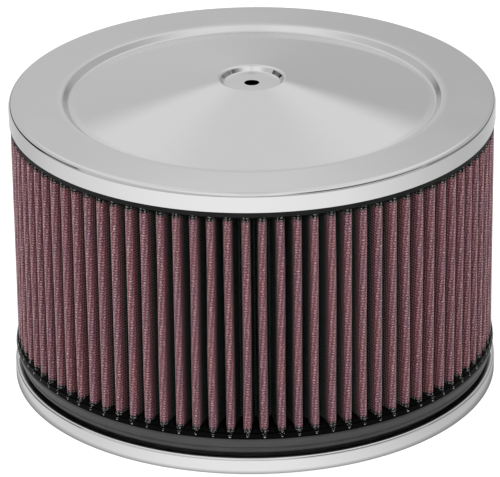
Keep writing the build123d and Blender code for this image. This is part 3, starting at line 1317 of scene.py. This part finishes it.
    def lit(self, tree: Tree, way: tuple[Socket, ...]) -> Socket:
        """Leave the room dark to either side of the card, and where the dark panel stands.

        Args:
            tree: the world's tree.
            way: how far the chrome looks to the right, to either side, ahead (over the object from the
                camera) and up.

        Returns:
            The share of the card's or the sky's brightness that is left.
        """
        right, aside, ahead, up = way
        narrow = add(tree, "MapRange", (aside, *self.card_side, 1.0, 0.0), **SMOOTH)
        over = add(tree, "MapRange", (ahead, *self.card_ahead))
        hung = add(tree, "Math", (narrow, over), operation="MULTIPLY")

        dark = add(tree, "MapRange", (right, *self.dark_halves, self.dark_left, self.dark_right))
        before = add(tree, "MapRange", (ahead, *self.behind_edge))
        dark = add(tree, "Mix", {"Factor": before, "A": self.dark_behind, "B": dark})
        straight = add(tree, "MapRange", (aside, *self.straight_edge), **SMOOTH)
        dark = add(tree, "Mix", {"Factor": straight, "A": dark, "B": self.dark_sides})
        rising = add(tree, "MapRange", (ahead, *self.rising_edge, self.reach_behind, self.reach))
        falling = add(tree, "MapRange", (ahead, 0.0, 1.0, self.reach, self.reach_ahead))
        limit = add(tree, "Math", (rising, falling), operation="MINIMUM")
        higher = add(tree, "Math", (up, limit), operation="SUBTRACT")
        lit = add(tree, "MapRange", (higher, -self.dark_blur, self.dark_blur, dark, 1.0), **SMOOTH)

        top = add(tree, "Math", (ahead, self.panel_slope, self.panel_top), operation="MULTIPLY_ADD")
        under = add(tree, "Math", (top, up), operation="SUBTRACT")
        panel = add(tree, "MapRange", (under, 0.0, self.panel_blur, 0.0, self.panel), **SMOOTH)
        for side, edge in ((up, self.panel_bottom), (right, self.panel_left), (ahead, self.panel_ahead)):
            share = add(tree, "MapRange", (side, *edge))
            panel = add(tree, "Math", (panel, share), operation="MULTIPLY")
        free = add(tree, "Math", (1.0, panel), operation="SUBTRACT")
        lit = add(tree, "Math", (lit, free), operation="MULTIPLY")
        return add(tree, "Math", (lit, hung), operation="MAXIMUM")

    def floor(self) -> None:
        """Lay the pale floor, white to the camera but for the object's soft shadow."""
        half = self.floor_half
        corners = [(-half, -half, 0), (half, -half, 0), (half, half, 0), (-half, half, 0)]
        mesh = bpy.data.meshes.new("floor")
        mesh.from_pydata(corners, [], [(0, 1, 2, 3)])
        made = put("floor", mesh)
        material, tree = blank("painted_studio_floor")
        ray = add(tree, "LightPath").node.outputs
        place = add(tree, "TexCoord").node.outputs["Object"]
        across, depth, _ = add(tree, "SeparateXYZ", (place,)).node.outputs
        nearer = add(tree, "Math", (depth, -1.0), operation="MULTIPLY")
        azimuth = add(tree, "Math", (across, nearer), operation="ARCTAN2")
        share = add(tree, "MapRange", (azimuth, -math.pi, math.pi))
        rings = []
        for levels in (self.painted_floor_near, self.painted_floor_far):
            ring = add(tree, "ValToRGB", (share,))
            ring.node.color_ramp.interpolation = "CARDINAL"
            stops = ring.node.color_ramp.elements
            for angle, _ in levels[1:-1]:
                stops.new(angle / 360 + 0.5)
            for stop, (_, level) in zip(stops, levels):
                stop.color = (level, level, level, 1.0)
            rings.append(ring)
        radius = off_axis(tree, place)
        low, high = ((self.object_radius + out) * MM for out in self.painted_contact_shadow)
        clear = add(tree, "MapRange", (radius, low, high))
        low, high = ((self.object_radius + out) * MM for out in self.far_edge)
        away = add(tree, "MapRange", (radius, low, high))
        lit = add(tree, "Mix", {"Factor": away, "A": rings[0], "B": rings[1]}, **COLOUR)

        paint, seen = ((level, level, level, 1) for level in (self.floor_paint, self.floor_seen))
        shades = add(tree, "Mix", {"Factor": ray["Is Camera Ray"], "A": paint, "B": seen}, **COLOUR)
        matt = add(tree, "BsdfDiffuse", {"Color": shades})
        shown = (ray["Is Camera Ray"], self.floor_white)
        white = add(tree, "Emission", {"Strength": add(tree, "Math", shown, operation="MULTIPLY")})
        painted = add(tree, "AddShader", (matt, white))
        # glossy rays see the floor glow with painted light and shade, and a painted shadow beside the rim
        painted_floor_reflection = add(tree, "Emission", {"Color": lit, "Strength": clear})
        mixed = add(tree, "MixShader", (ray["Is Glossy Ray"], painted, painted_floor_reflection))
        output(tree, mixed)
        made.data.materials.append(material)

    def camera(self) -> None:
        """Stand the camera where the photograph was taken from."""
        tilt, roll = math.radians(self.elevation), math.radians(self.roll)
        ahead = Vector((0, math.cos(tilt), -math.sin(tilt)))
        level, upright = Vector((1, 0, 0)), Vector((0, math.sin(tilt), math.cos(tilt)))
        right = level * math.cos(roll) + upright * math.sin(roll)
        up = upright * math.cos(roll) - level * math.sin(roll)
        pixel = self.distance / self.focal_pixels
        place = Vector((0, 0, self.aim_height)) - ahead * self.distance
        place += up * (self.aim_below * pixel) - right * (self.aim_right * pixel)
        data = bpy.data.cameras.new("camera")
        data.sensor_width = self.sensor
        data.lens = self.focal_pixels / self.width_pixels * data.sensor_width
        data.clip_end = self.clip
        made = put("camera", data)
        turn = Matrix((right, up, -ahead)).transposed().to_4x4()
        made.matrix_world = Matrix.Translation(place * MM) @ turn
        bpy.context.scene.camera = made

    def build(self) -> None:
        """Set up the room, the lamps and the camera."""
        self.room()
        self.floor()
        for lamp in self.lamps:
            lamp.build()
        self.camera()
        bpy.context.scene.view_settings.view_transform = "Standard"


def main() -> None:
    """Build the studio and the air cleaner; each piece logs its face count."""
    logging.basicConfig(level=logging.INFO, format="%(name)s %(message)s")
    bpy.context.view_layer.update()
    Studio().build()
    for part in (Lid(), BasePlate(), NeckGasket(), EndSeals(), PleatedElement()):
        part.build()


if __name__ == "__main__":
    main()
